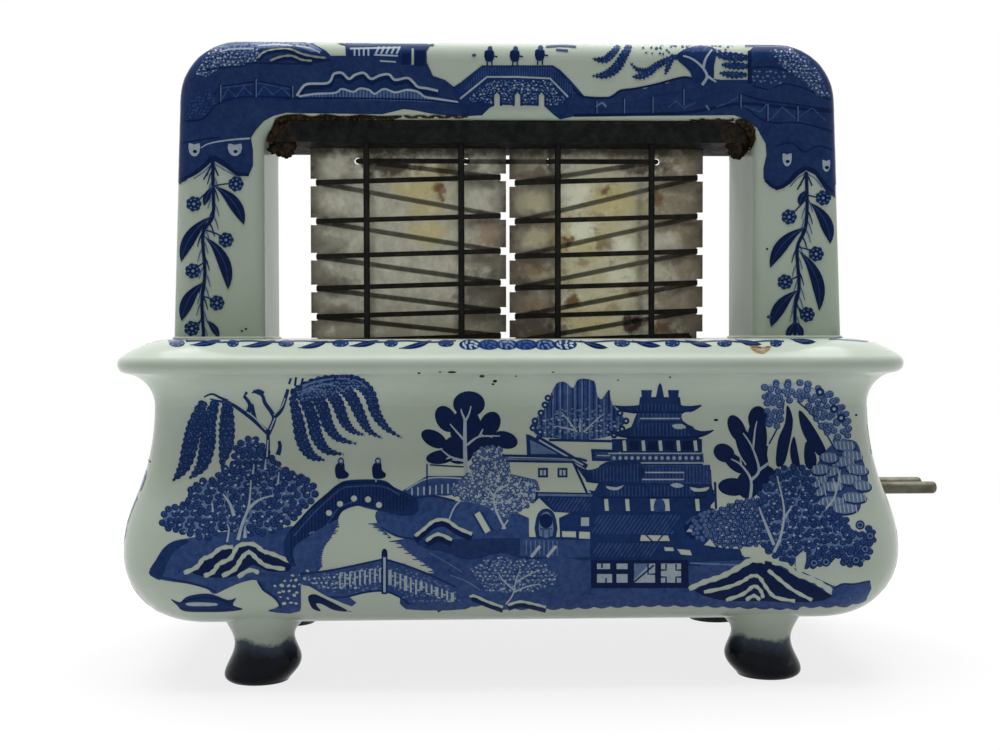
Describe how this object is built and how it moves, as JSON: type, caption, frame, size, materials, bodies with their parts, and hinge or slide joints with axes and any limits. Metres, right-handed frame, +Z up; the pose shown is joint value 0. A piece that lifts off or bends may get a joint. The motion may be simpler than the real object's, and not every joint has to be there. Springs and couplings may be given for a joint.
{
  "type": "electric toaster",
  "caption": "Porcelain perch toaster: footed swelling base, arched frame with an open window, wire guards and wound mica heating cards, with round pins for a supply cord.",
  "frame": {"origin": "centre of the base on the plane that its feet stand on", "axes": "+X to the right, the side with the terminal pins; the front faces -Y; +Z up"},
  "size_m": [0.2099, 0.1068, 0.158],
  "materials": {
    "porcelain": "glossy glaze with blue underglaze print",
    "rail_steel": "dark oxidised sheet with rust at its ends",
    "plate_steel": "dull tinned sheet",
    "mica": "translucent split sheet, heat stained",
    "resistance_ribbon": "dark oxidised ribbon",
    "guard_wire": "dark oxidised wire",
    "lead_braid": "braided heat-proof sleeve",
    "fastener_steel": "plain steel",
    "pin_nickel": "worn nickel plate",
    "brass": "dull brass"
  },
  "bodies": {
    "root": {"base_shell": "porcelain", "arch": "porcelain", "upper_rail": "rail_steel", "sill": "rail_steel", "bottom_plate": "plate_steel", "left_mica_card": "mica", "right_mica_card": "mica", "left_heating_ribbon": "resistance_ribbon", "right_heating_ribbon": "resistance_ribbon", "ribbon_jumper": "resistance_ribbon", "left_lead_wire": "lead_braid", "right_lead_wire": "lead_braid", "left_stud": "fastener_steel", "right_stud": "fastener_steel", "stud_washers": "fastener_steel", "stud_nuts": "fastener_steel", "front_terminal_pin": "pin_nickel", "rear_terminal_pin": "pin_nickel", "terminal_washers": "brass", "terminal_nuts": "brass", "front_guard_wire_1": "guard_wire", "front_guard_wire_2": "guard_wire", "front_guard_wire_3": "guard_wire", "front_guard_wire_4": "guard_wire", "rear_guard_wire_1": "guard_wire", "rear_guard_wire_2": "guard_wire", "rear_guard_wire_3": "guard_wire", "rear_guard_wire_4": "guard_wire"}
  },
  "joints": []
}
